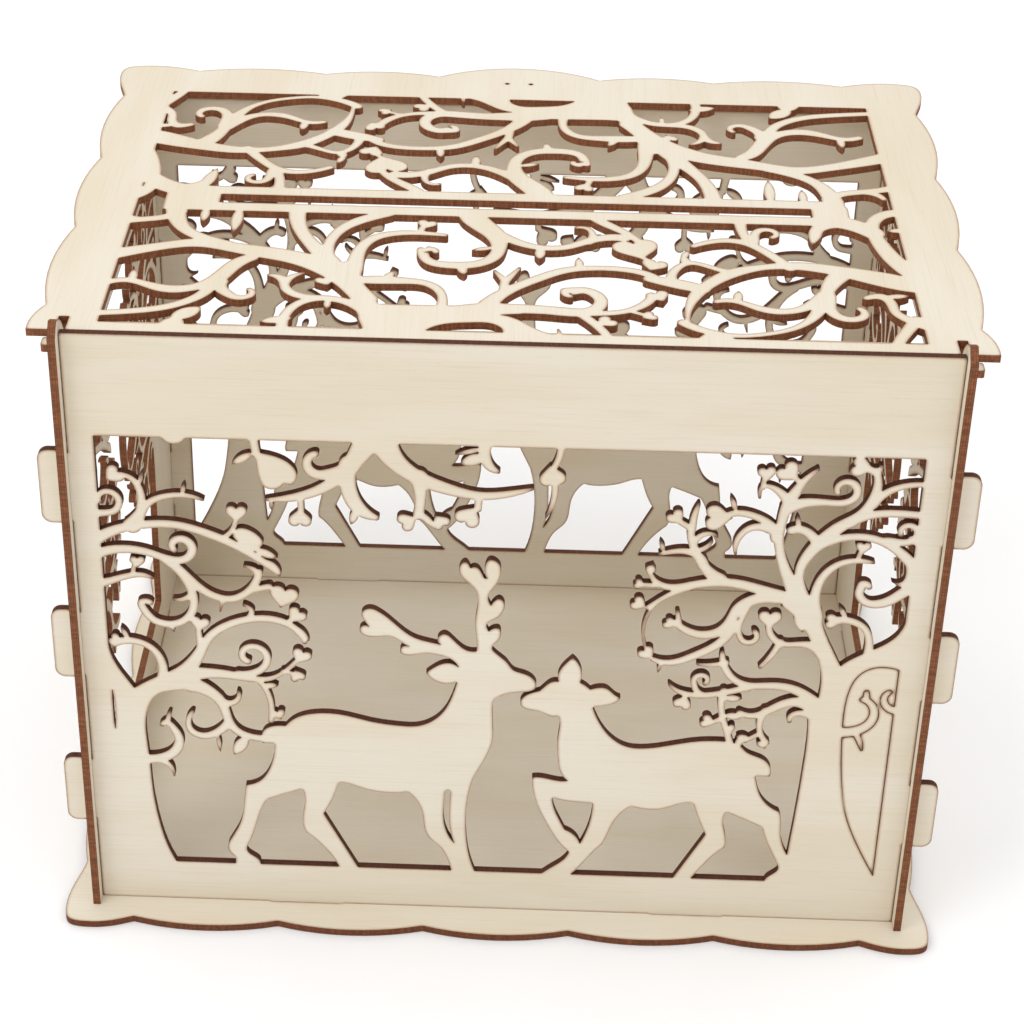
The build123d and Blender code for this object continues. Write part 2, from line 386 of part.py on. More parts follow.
def right_tree():
    trunk = outline([(131, 14)], [(131, 131)], [(128.3, 131)],
                    [(127.8, 125.4), (125.2, 120.4), (119, 115.6), (113, 112), (109, 108.6)],
                    [(105.6, 115.6), (102.3, 123.4), (100.8, 131)], [(97, 133.2), (91.6, 134.4)],
                    [(88, 131.6)], [(93, 127.2), (98, 119.4), (101.4, 111.4), (103.2, 103.6),
                                    (103.2, 97), (102.8, 92.3)],
                    [(100.4, 86.8)], [(100.8, 80), (100.6, 68), (99.8, 52), (98.9, 38), (98.2, 28.4)],
                    [(98.2, 14)])
    return [
        trunk,
        # two climbing limbs of the fork
        limb([7.4, 4.6, 3.3, 3, 3.2, 3.8, 3.6], (95, 132.6), (90.2, 141), (86.9, 149.4), (85.5, 157),
             (85.9, 164), (87.3, 170.6), (89.4, 175)),
        limb([3.4, 2.4, 1.6, 1], (87, 171), (83.6, 175.2), (79.8, 176.6), (78.3, 172.4)),
        limb([1.6, 1.6], (79, 176), (79.4, 180)), heart(79.9, 181.4, 5.8, 10),
        limb([3.4, 2.4, 1], (88.6, 173.5), (91.6, 179), (95.5, 183.2)),
        limb([1.8, 1.8], (90.6, 178), (88.6, 180)), heart(86.5, 182, 7.8, 45),
        limb([4.4, 3, 2.6, 2.4, 2.2], (84.8, 157.6), (82.3, 162.4), (77.8, 165.2), (72, 166.4), (69, 165.6)),
        heart(65.6, 164.4, 9.4, 90), leaf(71.6, 166.6, 69.5, 172.4, 1.8),
        limb([3, 2.4, 2, 1], (82, 160.6), (75.2, 160.2), (72.6, 156.4), (72.3, 151.2)),
        # curl to the right of it
        limb([4.4, 2.6, 2.6, 2.6, 2, 1.8], (87, 168.4), (93, 171), (99.4, 171.2),
             *curl(104.4, 175.8, 4.4, 2.4, -82, 210)),
        # middle limb with branches that run into the frame
        limb([6.4, 3.4, 3.2, 4, 4.6, 4.2, 3.6, 3.6, 2.8, 2], (97, 130), (93.6, 139), (93, 146), (95.4, 152),
             (99.6, 157.8), (104.6, 162.8), (110, 167), (113.2, 172.2), (114.2, 178), (113.2, 183.6)),
        limb([3.6, 3.2, 3, 3], (97.6, 155.8), (94.6, 159.6), (91.6, 161), (89, 160.4)),
        leaf(91.4, 160.4, 90.6, 166, 1.8),
        limb([1.6, 1.4], (113.4, 181), (114.6, 184.8)), heart(108.3, 184.6, 7.4, 80),
        limb([2.6, 2.4], (113.6, 182.4), (110.4, 184.2)),
        limb([4, 3, 2.8, 2.4], (107, 164), (114, 167.3), (122, 167.9), (130, 167.5)),
        limb([3.4, 2.6, 2.2, 1.8], (113.4, 171), (117.6, 175.8), (123, 178.2), (130, 178.7)),
        limb([4, 2.8, 2.8, 3, 3.6, 3.4], (98.6, 155.6), (106, 158.4), (113.4, 158.6), (120, 156),
             (125.2, 151.8), (130, 146)),
        limb([3, 2.4, 2, 1.8], (118, 157.4), (122.6, 157.2), *curl(125, 161, 3.6, 2, -70, 200)),
        limb([2.4, 2.2], (126.6, 158.6), (130, 156)),
        # inner limb with a heart on a stem
        limb([5.4, 3.2, 2.8, 2.4, 2, 1], (98.8, 129), (98.7, 138), (101, 144.4), (105.6, 148.6),
             (111, 149.8), (115.7, 149.2)),
        limb([1.6, 1.4], (110.6, 150), (111.4, 153.4)), heart(112, 155, 5),
        # frame curl
        limb([4.4, 3.6, 2.8, 2.8, 2.4, 2], (131, 141.4), (126.8, 138.8), (122, 134.8),
             *curl(116.8, 138.6, 5.4, 4.4, -70, -200), *curl(113.8, 139.4, 1.9, 1.5, 120, 20)),
        outline([(131, 150)], [(131, 138)], [(125.6, 140), (122, 142.2)],
                [(125.6, 142.8), (126.2, 145.2), (125.2, 150)]),
        # arch over the fork
        limb([3.4, 2.6, 2.4, 2.6, 3], (117.2, 112), (117.2, 119), (115.4, 123.6), (111.4, 126.3),
             (106, 126.6)),
        heart(104.8, 126.2, 5.8, 88), leaf(109.4, 127, 106.6, 132, 1.8),
        # big limb to the left, with its arms
        limb([9, 5.6, 4, 3.6, 3.4, 3, 2.6, 2], (97.4, 127), (91, 133.8), (83, 137), (75, 139.4),
             (67.4, 140), (59.4, 138.6), (52.2, 137.6), (47.4, 140)),
        limb([1.8, 1.6], (47.6, 139.6), (45.6, 143.2)), heart(46.2, 144.4, 3.6, 160),
        heart(42.6, 138.4, 4, 70), limb([2, 1.6], (48, 138), (43.6, 138.2)),
        limb([3.4, 2, 1.8], (59, 138.4), (52.5, 134.6), (46, 129.4)), heart(42.8, 130.8, 5.6, 60),
        limb([1.4, 1.2, 1.2, 1], (51.5, 133.8), (46.5, 127.6), (45, 121), (45.8, 114)),
        limb([5, 3.4, 2.8, 2.6, 2.2], (68, 141), (62.4, 146.4), (59.6, 152), (58, 157.2), (58.4, 161.4)),
        limb([3.4, 2.6, 2, 1.2], (62.6, 146.6), (58.4, 151.2), (53.4, 151.4), (48.8, 150.2)),
        leaf(50, 150.6, 48.6, 155.2, 1.6),
        limb([2.2, 2], (58, 160), (54.4, 162.4)), heart(52.8, 164.2, 6, 40),
        limb([2.4, 2.2, 1], (58.3, 160), (58.6, 164.6), (59.8, 169.2)),
        limb([2.2, 2, 1.6, 0.8], (59.4, 155), (61.2, 157.6), (63.8, 158.4), (66.2, 157.2)),
        limb([1.8, 1.6, 1], (60, 151.8), (63.2, 153.4), (64.6, 155.4)),
        # S limb that falls from it
        limb([4.6, 3.9, 3.7, 3.8, 3.4, 2.8, 2.2], (86.4, 134.6), (78.4, 133.2), (74.2, 129.4), (72.4, 124.6),
             (68.6, 120.4), (62.8, 119.4), (57.8, 121.4), (54.8, 124)),
        limb([2, 1.4], (56.2, 123.4), (55.5, 128)), heart(53, 123.4, 4.6, 60),
        limb([2.2, 2, 2.2, 2, 1.8], (77.8, 131.6), (75.8, 125.4), *curl(79, 119.6, 3.2, 2.2, 190, 410)),
        limb([4, 3.2, 3, 2.6, 1.8], (73.4, 124), (68.9, 115.6), (62, 111), (55, 108), (48.6, 109)),
        heart(46.4, 111.4, 5.8, 40), leaf(51.4, 108.2, 50.4, 103.6, 1.4),
        # inner arm with its forked top
        limb([4, 2.4, 2.4, 2.4, 2.2], (102, 113.6), (95, 116.8), (89.4, 116.8), (86, 119.6), (85, 124)),
        heart(85, 126.6, 7.6), leaf(96, 121.4, 92.6, 128.4, 2.6),
        limb([2.6, 2, 1.4], (89, 117.4), (86.4, 111.6), (83.3, 107.2)),
        # low limb: a curl, leaves and hearts over the doe's back
        limb([5, 3.8, 3.4, 3, 2.8, 2.6, 2.6, 1.4], (105, 90), (99.6, 95.8), (94, 98.9), (87, 99.8),
             (80.4, 99.6), (75.8, 101.4), (72.2, 106), (70.8, 112.6)),
        limb([3, 2.4, 2.4, 1.8, 1], (80, 98.8), (71, 96), (63, 95), (57.6, 96.4), (54.5, 99)),
        limb([2.2, 2, 1.8, 1.6], (66, 95.2), (63, 97.6), *curl(65, 101, 2.9, 1.5, 205, -50)),
        limb([2, 1.6, 1], (72.4, 108.6), (67, 107.4), (63.2, 107.6)),
        limb([1.8, 1.8], (60, 95.6), (59.4, 92.6)), heart(59.2, 91.6, 6.2, 160),
        limb([2.8, 2.4, 2.2, 2.4], (72.4, 97), (71.8, 91), (73, 84.6), (75.6, 76)),
        leaf(72, 94.2, 78.4, 94.2, 2.8), limb([2, 1.8], (72.4, 86), (69.8, 84.2)), heart(67.6, 84.4, 5.4, 70),
        leaf(73, 87.2, 79, 86.6, 3), heart(75, 81.6, 4.4, 20),
        # lowest limb
        limb([5, 3.6, 3.2, 2.6, 2.2], (101, 91.6), (93.6, 93.2), (88.2, 90.2), (83.6, 87.6), (78, 88.4)),
        limb([3, 2.2, 2, 2.2], (86.4, 89.4), (84.8, 83.4), (86, 78.6), (87.6, 76.4)),
        heart(86.6, 75.8, 4.2, 20), limb([1.8, 1.6], (85, 80), (80.6, 76.8)),
        leaf(82, 78, 77.6, 78.6, 2.4), leaf(79.4, 79, 78, 73.6, 2.6),
        limb([4, 2.6, 2, 1.6], (102.6, 87.4), (98, 89), (95, 88), (94.4, 85.6))]


def bark_window(inset=0.0):
    """The gap between the right trunk and the frame, with the stub that grows into it."""
    bark = [(128, 107.8), (125, 108.6), (120, 108.4), (115.6, 105.6), (112.8, 99.6), (111.8, 92), (112, 80),
            (112.8, 68), (114.2, 56.6), (115.8, 48.4), (119, 39), (128, 20.4)]
    gap = outline(bark[:1], bark[1:])
    grow = 2 * inset
    edge = [limb([grow, grow], *bark), box(128 - inset, 129, 15, 110)] if inset else []
    stub = limb([4 + grow, 3.4 + grow, 2.6 + grow, 1.8 + grow], (110, 82), (116, 82.4), (120.4, 85.6),
                (121.6, 90.4), (119.6, 94.4), (117.4, 95.4))
    twigs = [limb([2.2 + grow, 1.6 + grow], (118.6, 95), (118.4, 98.4)),
             limb([1.8 + grow, 1.8 + grow, 0.5 + grow], (116.2, 82), (117.8, 78.6), (119, 74.6)),
             limb([2.8 + grow, 2.4 + grow, 1.6 + grow], (130, 91.8), (125.8, 92.4), (124.2, 96),
                  (125.8, 98.8))]
    return gap - (Sketch() + [stub] + twigs + edge)


def picture():
    """All the wood inside the window, at the size it is drawn at."""
    wood = Sketch() + [stag(), doe()] + left_tree() + hanging_twigs() + right_tree()
    return wood - bark_window()


# ---------------------------------------------------------------- the lid's fretwork
# Drawn for the half nearest the hinge, over a window 254 wide and 175 deep; the other half is
# the same turned half round.

def lid_left_limbs():
    return [
        limb([8, 8, 9, 9.5, 8.6, 8, 6.6, 6, 5.4, 7, 7.4], (-46, 34), (-50, 41), (-55, 49), (-62, 56),
             (-71, 61), (-81, 64), (-92, 67), (-103, 69.3), (-113, 66.8), (-129, 60),
             (-137, 56)),
        limb([7, 6, 5, 5, 6], (-113.5, 95), (-111.5, 85), (-108.5, 79), (-102, 73), (-93, 68)),
        limb([4.4, 4, 3.8, 4, 4.6], (-137, 79.6), (-130, 83.4), (-123, 85.2), (-116.5, 87.2), (-111.5, 92)),
        limb([3.2, 3, 2.2], (-124.6, 85.4), (-128.6, 87), (-130.6, 90.2)),
        leaf(-103.2, 96, -103.2, 84.6, 3.2), leaf(-92, 97, -92.3, 77.6, 4),
        # two limbs from the bar down to the long one
        limb([6, 5.4, 5, 5.6, 7, 8], (-72.6, 95), (-71.5, 85), (-69, 77), (-65.5, 70), (-61, 62), (-57, 53)),
        limb([5, 4, 4, 4.5, 5, 4], (-59.2, 60), (-60.3, 70), (-59, 77), (-55.5, 84), (-50, 89.5), (-42, 94)),
        # arm with a heart
        limb([7, 5.5, 4.5, 4, 3.6, 3, 2], (-52, 50), (-50.8, 60), (-49.8, 68), (-45.4, 76.4), (-38, 80),
             (-30, 80.4), (-22.6, 79.4)),
        limb([2.6, 2.2], (-31, 81), (-30.2, 85)), heart(-29, 87.2, 6.8, -15),
        # limb to the frame on the left
        limb([5, 6, 6, 4.6, 5, 4.4, 3.4, 3], (-84.6, 60), (-91.5, 50), (-95, 43), (-100, 39), (-106, 37.2),
             (-113, 38.6), (-120, 42), (-127.6, 40.8)),
        leaf(-120.4, 40, -120.8, 50, 3),
        limb([5, 4, 3.8, 3.8, 3.4, 3], (-95.4, 41), (-97.5, 34), (-102, 29), (-108, 25.2), (-116, 22.6),
             (-129, 20.3), (-137, 19)),
        leaf(-96.6, 26, -105, 17.6, 6.4),
        outline([(-108, 13)], [(-108, 15.6), (-104, 19), (-100.4, 15.6)], [(-100.4, 13)]),
        limb([4.6, 4, 3, 2.6, 2], (-92.2, 43), (-91, 37), *curl(-84.6, 36.8, 4.8, 2.4, 205, 400)),
        # limb over the two arches by the trunk
        limb([7, 4.4, 3.8, 3.6, 3.6, 3.4, 3.4, 1.6], (-42, 22), (-48, 29), (-54, 33), (-60, 34),
             (-66, 34.8), (-71.4, 39.6), (-73, 45.4), (-77.4, 48.4)),
        limb([3, 2.6, 1], (-72, 42), (-70.4, 47.4), (-66.8, 50.2)),
        limb([3.6, 3.4, 3.5, 4], (-60, 33.8), (-66.2, 30.4), (-69.6, 24), (-70, 13)),
        leaf(-67.6, 20.6, -77.4, 17.8, 4.4), leaf(-57.6, 34, -57.5, 27, 2.4),
        heart(-59.6, 45.6, 6.4, 20)]


def lid_centre_limbs():
    return [
        # root that stands on the frame
        limb([17, 9.6, 7, 6.5, 8], (-37, 12), (-43, 25), (-47.5, 35), (-50.5, 45), (-53, 55)),
        limb([9, 8, 9, 8], (-36, 16), (-25, 24), (-15, 27.5), (-5, 30)),
        # long wave across the middle
        limb([7, 5, 4.3, 4.2, 4, 3.4, 3.4, 3.6, 3.4], (-8, 31), (-3.2, 40), (3, 46.5), (9.5, 52), (17, 57),
             (25, 58.8), (33, 58.8), (40, 57.2), (45.4, 53.4)),
        limb([3.2, 3], (-3, 41), (-2.3, 50)), limb([3, 1.2], (-2.4, 48.6), (-5.8, 55.2)),
        limb([3, 1.2], (-2.2, 48.6), (2, 57.6)), leaf(21.5, 57, 21, 66, 3),
        limb([4.5, 3.6, 3.2, 3.5, 3.6, 4.4, 5.4, 5], (-23, 25), (-21.8, 32), (-22, 37.5), (-24, 42.5),
             (-28, 45.8), (-34, 46.8), (-40, 47), (-47, 46.8)),
        leaf(-41.4, 46, -37.8, 53.4, 3),
        # curl and two forks right of the root
        limb([7, 5.6, 5.5, 5, 4.4, 4.4, 4.2, 3.6, 2.6, 2], (-8, 30), (2, 30.4), (11, 30), (19, 29),
             *curl(20.4, 37, 8, 6.6, -72, 110), *curl(19.2, 41.2, 3, 2, 140, 240)),
        limb([4, 3.2, 3, 3.4, 3.6], (19, 28.6), (29, 29), (35, 30.5), (40, 34), (43.6, 39.4)),
        heart(45.8, 41.4, 7.6, 25), heart(42.8, 28, 5.6, -60), limb([2, 1.8], (36.6, 31), (41.4, 28.4)),
        limb([3.4, 3.4, 3], (20, 29.4), (26, 21.5), (30, 13)), heart(29.4, 23.6, 7, -50),
        # curl that hangs from the bar
        limb([9, 8, 5, 4.4, 4.8, 3.8, 3.4, 3.2, 2.8, 2.2], (-14.6, 95), (-9, 85), (-5.5, 78.6), (-4.8, 72),
             (-6, 65.6), (-11, 60), *curl(-21.6, 67.2, 9.2, 7.6, -75, -190),
             *curl(-27, 67.2, 2.2, 1.8, 150, 0)),
        leaf(-17, 59.4, -15.6, 52.2, 3.4), leaf(-6, 71.6, -13.6, 69.2, 2.6),
        limb([5, 4.3, 3.8, 3.6, 3.6, 4, 4.5, 5], (-6.4, 82.6), (0, 76.5), (6, 73), (12, 72), (18, 73.5),
             (23.5, 77.3), (29, 80.2), (36, 80.6)),
        limb([3.6, 2.6, 2, 1.6], (24.4, 77), (25.8, 83), (24, 87), (20.6, 87.4)), leaf(8.8, 73, 8.4, 64, 3.6),
        limb([4, 4, 3.5, 3], (26.4, 95), (33, 88), (37, 84), (40.4, 79)),
        heart(39.8, 73.6, 15.2, 14), heart(45.4, 62.4, 8.6, -20), limb([2, 2], (41.2, 68), (43.4, 65)),
        limb([4, 6, 5.4], (43.4, 52.6), (49.6, 50.6), (60, 46.6))]


def lid_right_limbs():
    return [
        # bow at the end of the bar, with a leaf on the frame inside it
        limb([9, 8.6, 8], (106, 97), (112.5, 94.4), (118.5, 89)),
        limb([5.2, 4.9, 4.9, 5, 5.6, 6.4, 7, 7.6], (129, 104.4), (122.8, 102.1), (119.4, 97), (118.6, 91.1),
             (119.5, 83.5), (121.4, 75.5), (124, 68.2), (129, 59)),
        leaf(123.4, 90.7, 130, 91.7, 3),
        # long limb into the frame
        limb([1.6, 2.6, 4.5, 5, 5.5, 4, 5.5, 7, 9.5, 9], (54.5, 24), (55.2, 34), (58, 43), (63.5, 51.5),
             (71, 58.5), (80, 62.5), (92, 64), (104, 61.5), (115, 57.5), (129, 52.2)),
        # arms over it
        limb([2.4, 3, 3.4, 3.8, 3.8, 4, 4.4], (58.6, 76.2), (65, 79.8), (71, 80.8), (76.5, 79), (81, 74.5),
             (85, 69), (89, 62.6)),
        limb([4.6, 3.6, 4], (75, 95), (75.5, 86), (77.5, 78.6)),
        limb([3.6, 3, 2.4, 2], (78.2, 79), (79, 84.4), *curl(83.6, 86, 4, 2.4, 160, -60)),
        leaf(101.4, 97, 97.6, 79.4, 4.6),
        outline([(98.6, 94)], [(99.6, 91), (101.8, 88.4)], [(104, 91), (108, 92), (112, 90), (115.4, 87.6)],
                [(119, 86)], [(119, 94)]),
        limb([4, 3, 2.8, 2.6, 3], (50.8, 51.4), (53, 61), (57, 64.2), (62, 62.6), (69, 59)),
        leaf(56.6, 62.4, 54.6, 68.6, 3.6), leaf(54.4, 66.4, 56.8, 73, 2.6),
        # fork that falls to the frame
        limb([7, 5.5, 4.5, 5], (106, 60), (100.5, 50.6), (98.8, 45), (97.6, 38.6)),
        limb([5.5, 4.5, 3.6, 4, 3.6, 3, 2.4], (98.6, 45), (93, 37.4), (87.5, 33.8), (82, 33.3), (76.6, 35.2),
             (71.4, 38.6), (64, 38.6)),
        leaf(70.6, 38, 71.4, 46, 3.2),
        limb([5, 4.4, 3.2, 2.6, 2.4, 2.6, 3.4, 4], (97.6, 41), (95, 33), (91.5, 27), (86, 22), (78, 18.5),
             (69.4, 17), (62, 18.4), (53, 24.4)),
        outline([(56, 13)], [(58, 16), (61, 20)], [(66, 17.6), (69.4, 13)]),
        limb([4.5, 4.2, 3.6, 3, 2.4], (99.6, 46), (99.2, 37.6), *curl(106, 34.4, 6.2, 3.2, 195, 400)),
        limb([2.6, 4, 3.6, 3.4, 4, 5], (111.4, 43.6), (117.2, 44), (119, 39), (119.6, 34.4), (122, 31),
             (129, 25.6)),
        leaf(116.8, 44.4, 125, 45.8, 3),
        limb([5, 4.2, 4, 3.4], (125.4, 30), (122, 23.5), (119.5, 18.5), (117, 12))]


def lid_root_web():
    """The wood at the foot of the root, before the two gaps beside it are cut."""
    web = outline([(-46, 12)], [(-46, 17), (-47.4, 22), (-46, 28), (-38, 31)], [(-8, 31.5)], [(2, 29)],
                  [(14, 12)])
    return [web, leaf(14.2, 12, 14.4, 18.4, 2.4)]


def lid_root_gaps():
    left = outline([(-26.1, 12)], [(-26.1, 15.2)], [(-20.7, 19.3), (-13.1, 20.7), (-5.9, 20.4), (-3.3, 18.2),
                                                   (-2.5, 15.2)], [(-2.5, 12)])
    right = outline([(2.1, 27), (9.9, 26.6), (14, 25.6)], [(14, 15.2)],
                    [(12.5, 15.2), (8.4, 17.3), (4.8, 20.7), (-3.5, 26.1)])
    return [left, right]


# ---------------------------------------------------------------- building helpers

def box(x0, x1, y0, y1):
    return Pos((x0 + x1) / 2, (y0 + y1) / 2) * Rectangle(x1 - x0, y1 - y0)


def stretched(wood, factor_x, factor_y):
    """Scale a drawing to its window; at its own size it is left as it is drawn."""
    if abs(factor_x - 1) < 1e-9 and abs(factor_y - 1) < 1e-9:
        return wood
    return scale(wood, by=(factor_x, factor_y, 1))


def lobes(points, rise):
    """A row of shallow arcs from point to point, bulging to the right of the way they run."""
    arcs = []
    for (ax, ay), (bx, by) in zip(points, points[1:]):
        nx, ny = unit(by - ay, ax - bx)
        middle = ((ax + bx) / 2 + nx * rise, (ay + by) / 2 + ny * rise)
        arcs.append(ThreePointArc((ax, ay), middle, (bx, by)))
    return arcs


def spaced(first, last, count):
    return [first + (last - first) * i / count for i in range(count + 1)]


def stand_x(face, back):
    """Stand a face drawn in (x, z) up as a plate one sheet thick, with its back at y = back."""
    plane = Plane(origin=(0, back, 0), x_dir=(1, 0, 0), z_dir=(0, -1, 0))
    return extrude(plane * face, amount=sheet)


def stand_y(face, x_from):
    """Stand a face drawn in (y, z) up as a plate one sheet thick, from x = x_from towards +X."""
    plane = Plane(origin=(x_from, 0, 0), x_dir=(0, 1, 0), z_dir=(1, 0, 0))
    return extrude(plane * face, amount=sheet)


def lay(face, z_from):
    return extrude(Pos(0, 0, z_from) * face, amount=sheet)


def whole(piece, name):
    """Keep the one solid; a loose flake would be a mistake in the drawing, so it is reported."""
    solids = sorted(piece.solids(), key=lambda s: s.volume)
    for loose in solids[:-1]:
        where = loose.center()
        print(name, "loose", round(loose.volume, 3), round(where.X, 1), round(where.Y, 1), round(where.Z, 1))
    solids[-1].label = name
    return solids[-1]


# ---------------------------------------------------------------- picture panels

def side_tab(side, low):
    """One tab on an end of a picture panel: a neck in the slot and a barbed head outside it."""
    shoulder = inner_width / 2 - butt_gap - 1
    neck_end = outer_x + side_tab_neck
    tip = outer_x + side_tab_reach
    high = low + side_tab_height
    neck = box(shoulder, neck_end + 1, low, high)
    head = box(neck_end, tip, low - side_tab_barb, high + side_tab_barb)
    head = fillet(head.vertices().group_by(Axis.X)[-1], side_tab_corner)
    head = fillet(head.vertices().group_by(Axis.X)[0], side_tab_barb * 0.8)
    tab = neck + head
    return tab if side > 0 else mirror(tab, Plane.YZ)


def panel_blank(top):
    half = inner_width / 2 - butt_gap
    blank = [box(-half, half, floor_z, top)]
    blank += [side_tab(side, low) for side in (-1, 1) for low in side_tab_lows]
    for middle in (-foot_tab_place, foot_tab_place):
        blank.append(box(middle - foot_tab_width / 2, middle + foot_tab_width / 2, 0, floor_z + 1))
    window = box(-window_width / 2, window_width / 2, window_low, window_low + window_height)
    return (Sketch() + blank) - window


def placed(wood, across, height, drawn_across):
    """Put a drawing into a window of that size, standing on the ground."""
    rise = height / drawn_height
    return Pos(0, window_low - drawn_ground * rise) * stretched(wood, across / drawn_across, rise)


def placed_picture(wood):
    """A picture in its window, with a rim that runs into the frame all round."""
    rim = 2.7
    wood = wood & box(-drawn_width / 2 - rim, drawn_width / 2 + rim,
                      drawn_ground - rim, drawn_ground + drawn_height + rim)
    return placed(wood, window_width, window_height, drawn_width)


def hinge_side_panel():
    face = panel_blank(floor_z + hinge_panel_height) + placed_picture(picture())
    return stand_x(face, -inner_depth / 2)


def hasp_side_panel():
    face = panel_blank(floor_z + hasp_panel_height) + placed_picture(picture())
    screws = [Pos(x, floor_z + hasp_panel_height - panel_screw_drop) * Circle(panel_screw_bore / 2)
              for x in (-panel_screw_spacing / 2, panel_screw_spacing / 2)]
    face = mirror(face, Plane.YZ) - screws
    return stand_x(face, outer_y)


def uncut_infill():
    """Waste piece that is still held in its outline by the fit of the cut line alone."""
    return stand_x(placed_picture(bark_window(kerf)), -inner_depth / 2)


# ---------------------------------------------------------------- side panels

def side_outline():
    """The edge of a side panel seen from +X, drawn in (y, z)."""
    near = -outer_y - side_lip
    far = outer_y + side_lip
    crest = lid_z + prong_rise
    root = axis_y + prong_back
    edges = [Line((near, floor_z), (far, floor_z)), Line((far, floor_z), (far, lid_z)),
             Line((far, lid_z), (root, lid_z)),
             ThreePointArc((root, lid_z), (axis_y, lid_z + prong_waist), (near + prong_flat, crest)),
             Line((near + prong_flat, crest), (near, crest - prong_drop)),
             Line((near, crest - prong_drop), (near, floor_z))]
    return make_face(edges)


def side_panel(x_from):
    face = side_outline()
    feet = [box(y - foot_tab_width / 2, y + foot_tab_width / 2, 0, floor_z + 1)
            for y in (-side_foot_place, side_foot_place)]
    slots = []
    for y in (-outer_y, inner_depth / 2):
        for low in side_tab_lows:
            foot = low - slot_gap
            slots.append(box(y - slot_gap, y + sheet + slot_gap, foot, foot + slot_length))
    hole = Pos(axis_y, axis_z) * Circle(peg_hole_radius)
    window = box(-side_window_width / 2, side_window_width / 2, window_low, window_low + window_height)
    wood = placed(Sketch() + side_trees(), side_window_width, window_height, drawn_side_width)
    overlap = side_window_margin / 2
    inside = box(-outer_y + overlap, outer_y - overlap, floor_z + overlap, lid_z - overlap)
    frame = (face + feet) - window - slots - hole
    return stand_y(frame + (wood & inside), x_from)


def side_trees():
    """The two trees of the picture, closer together and with nothing between them."""
    left = [Pos(side_tree_shift, 0) * piece for piece in left_tree()]
    right = [Pos(-side_tree_shift, 0) * piece for piece in right_tree()]
    return left + right


# ---------------------------------------------------------------- boards

def flipped(points):
    return [(x, -y) for x, y in reversed(points)]


def base_board():
    cusp_x = scallop_x - base_corner_x
    cusp_y = scallop_y - base_corner_y
    near = [(x, -scallop_y) for x in spaced(-cusp_x, cusp_x, 5)]
    right = [(scallop_x, y) for y in spaced(-cusp_y, cusp_y, 3)]
    rise = scallop_rise
    corner = [(cusp_x, -scallop_y), (cusp_x + 8, -scallop_y - rise * 0.8),
              (cusp_x + 17, -scallop_y - rise), (scallop_x + rise - 1.4, -scallop_y - rise * 0.45),
              (scallop_x + rise, -scallop_y + 3), (scallop_x + rise * 0.8, -scallop_y + 14),
              (scallop_x, -cusp_y)]
    right_side = lobes(right, rise)
    half = [Spline(*corner)] + right_side + [Spline(*flipped(corner))]
    other = [mirror(edge, Plane.YZ) for edge in half]
    edges = lobes(near, rise) + half + [mirror(edge, Plane.XZ) for edge in lobes(near, rise)] + other
    face = make_face(edges)
    slots = []
    for y in (-outer_y, inner_depth / 2):
        for x in (-foot_tab_place, foot_tab_place):
            slots.append(box(x - foot_tab_width / 2 - slot_gap, x + foot_tab_width / 2 + slot_gap,
                             y - slot_gap, y + sheet + slot_gap))
    for x in (-outer_x, inner_width / 2):
        for y in (-side_foot_place, side_foot_place):
            slots.append(box(x - slot_gap, x + sheet + slot_gap, y - foot_tab_width / 2 - slot_gap,
                             y + foot_tab_width / 2 + slot_gap))
    return lay(face - slots, 0)


def lid_outline():
    rise = scallop_rise
    side_top = lid_far - lid_corner_y
    cusps = [*lid_far_cusps, lid_x - lid_corner_x]
    ear = (lid_x + rise, lid_near)
    ear_arc = ThreePointArc(ear, (lid_x + rise - 0.5, lid_near + 8.4), (lid_x, lid_near + lid_ear))
    corner = [(lid_x, side_top), (lid_x + rise * 0.85, side_top + 10), (lid_x + rise + 0.8, side_top + 18),
              (lid_x + rise - 1, lid_far + 1.4), (lid_x - 3, lid_far + rise),
              (lid_x - 13, lid_far + rise), (cusps[-1], lid_far)]
    far = [(x, lid_far) for x in reversed(cusps)]
    half = [ear_arc] + lobes([(lid_x, y) for y in spaced(lid_near + lid_ear, side_top, 3)], rise)
    half += [Spline(*corner)] + lobes(far, rise)
    other = [mirror(edge, Plane.YZ) for edge in half]
    crown = ThreePointArc((cusps[0], lid_far), (0, lid_far + hasp_lobe_rise), (-cusps[0], lid_far))
    near = Line((-ear[0], lid_near), ear)
    return make_face([near] + half + [crown] + other)


def lid_fretwork():
    """Both halves of the lid's fretwork, with the middle of the card slot at the origin."""
    limbs = lid_left_limbs() + lid_centre_limbs() + lid_right_limbs()
    half = Pos(0, -drawn_lid_middle) * ((Sketch() + limbs + lid_root_web()) - lid_root_gaps())
    wood = half + Pos(-lid_turned_shift, 0) * Rot(Z=180) * half
    return wood & Rectangle(drawn_lid_width + 2 * lid_rim, drawn_lid_depth + 2 * lid_rim)


